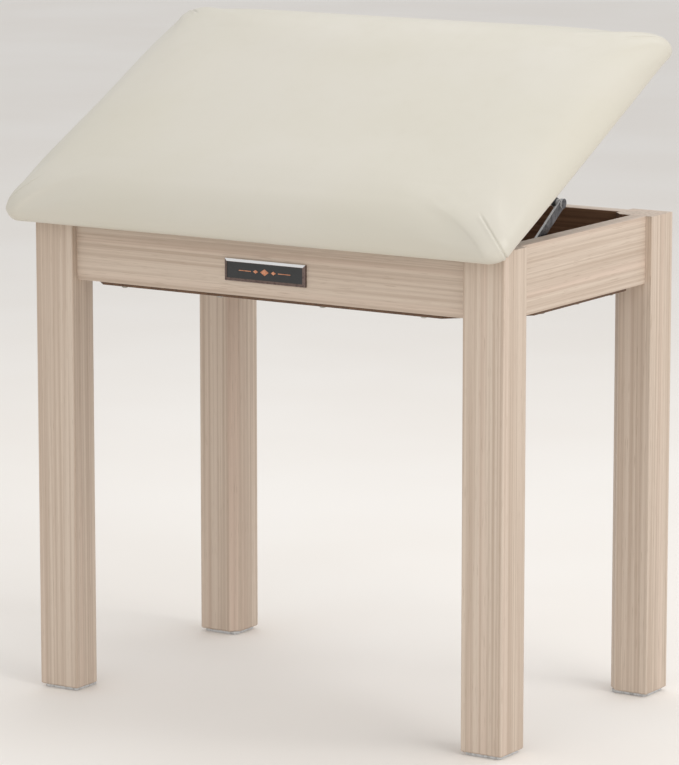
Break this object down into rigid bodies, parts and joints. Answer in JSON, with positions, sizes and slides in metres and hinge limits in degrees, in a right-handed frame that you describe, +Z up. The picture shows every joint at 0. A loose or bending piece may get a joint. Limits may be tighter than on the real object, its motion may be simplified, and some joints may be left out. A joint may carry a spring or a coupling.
{
  "type": "piano bench",
  "caption": "Storage piano bench on square legs: a padded vinyl seat is hinged along the front of an apron box and held part open by folding stays.",
  "frame": {"origin": "on the floor, under the middle of the whole bench as it stands with the seat part open", "axes": "+Z up, +X along the length to the right-hand side, -Y the front with the name plate, where the seat is hinged"},
  "size_m": [0.535, 0.3432, 0.6254],
  "materials": {
    "wood_foil": "satin foil with a fine straight grain, pale on the outside and dark brown inside the box",
    "dowel_beech": "plain turned beech",
    "dark_hardboard": "smooth dark brown hardboard",
    "plywood": "sanded plywood",
    "seat_foam": "open cell cushion foam",
    "cream_vinyl": "satin leather-look vinyl",
    "black_lining": "non-woven cloth",
    "black_rubber": "matt rubber",
    "glide_plastic": "matt moulded plastic",
    "plate_chrome": "polished",
    "plate_enamel": "gloss dark enamel",
    "plate_copper": "satin copper colour",
    "stay_steel": "dark zinc plate",
    "hinge_steel": "zinc plate",
    "zinc_steel": "zinc plate"
  },
  "bodies": {
    "frame": {"apron_dowels": "dowel_beech", "apron_front": "wood_foil", "apron_left": "wood_foil", "apron_rear": "wood_foil", "apron_right": "wood_foil", "bottom_panel": "dark_hardboard", "bottom_panel_screws": "zinc_steel", "brace_nuts": "zinc_steel", "brace_screws": "zinc_steel", "brace_washers": "zinc_steel", "corner_braces": "zinc_steel", "glide_nails": "zinc_steel", "hanger_bolts": "zinc_steel", "hinge_frame_leaves": "hinge_steel", "hinge_frame_screws": "zinc_steel", "hinge_pins": "hinge_steel", "leg_front_left": "wood_foil", "leg_front_right": "wood_foil", "leg_glides": "glide_plastic", "leg_rear_left": "wood_foil", "leg_rear_right": "wood_foil", "name_plate_face": "plate_enamel", "name_plate_inlay": "plate_copper", "name_plate_pins": "zinc_steel", "name_plate_rim": "plate_chrome", "stay_foot_plates": "stay_steel", "stay_foot_rivets": "stay_steel", "stay_foot_screws": "zinc_steel"},
    "seat": {"bumper_screws": "zinc_steel", "hinge_seat_leaves": "hinge_steel", "hinge_seat_screws": "zinc_steel", "seat_board": "plywood", "seat_bumpers": "black_rubber", "seat_cover": "cream_vinyl", "seat_foam": "seat_foam", "seat_lining": "black_lining", "seat_staples": "zinc_steel", "stay_seat_brackets": "stay_steel", "stay_seat_rivets": "stay_steel", "stay_seat_screws": "zinc_steel"},
    "stay_arm_left": {"stay_arm_left": "stay_steel", "stay_elbow_rivet_left": "stay_steel"},
    "stay_bar_left": {"stay_bar_left": "stay_steel"},
    "stay_arm_right": {"stay_arm_right": "stay_steel", "stay_elbow_rivet_right": "stay_steel"},
    "stay_bar_right": {"stay_bar_right": "stay_steel"}
  },
  "joints": [
    {"name": "seat_hinge", "type": "hinge", "parent": "frame", "child": "seat", "pos_m": [0, -0.13139, 0.4525], "axis": [1, 0, 0], "range_deg": [-27.2, 17.8]},
    {"name": "stay_arm_left_hinge", "type": "hinge", "parent": "frame", "child": "stay_arm_left", "pos_m": [-0.22415, -0.04539, 0.436], "axis": [1, 0, 0], "range_deg": [-33.4, 21.9]},
    {"name": "stay_bar_left_hinge", "type": "hinge", "parent": "stay_arm_left", "child": "stay_bar_left", "pos_m": [-0.2184, 0.01161, 0.474], "axis": [1, 0, 0], "range_deg": [-31.6, 48.3]},
    {"name": "stay_arm_right_hinge", "type": "hinge", "parent": "frame", "child": "stay_arm_right", "pos_m": [0.22415, -0.04539, 0.436], "axis": [1, 0, 0], "range_deg": [-33.4, 21.9]},
    {"name": "stay_bar_right_hinge", "type": "hinge", "parent": "stay_arm_right", "child": "stay_bar_right", "pos_m": [0.2184, 0.01161, 0.474], "axis": [1, 0, 0], "range_deg": [-31.6, 48.3]}
  ],
  "couplings": [
    {"joint": "stay_arm_left_hinge", "follows": "seat_hinge", "ratio": 1.226},
    {"joint": "stay_bar_left_hinge", "follows": "seat_hinge", "ratio": -1.771},
    {"joint": "stay_arm_right_hinge", "follows": "seat_hinge", "ratio": 1.226},
    {"joint": "stay_bar_right_hinge", "follows": "seat_hinge", "ratio": -1.771}
  ]
}
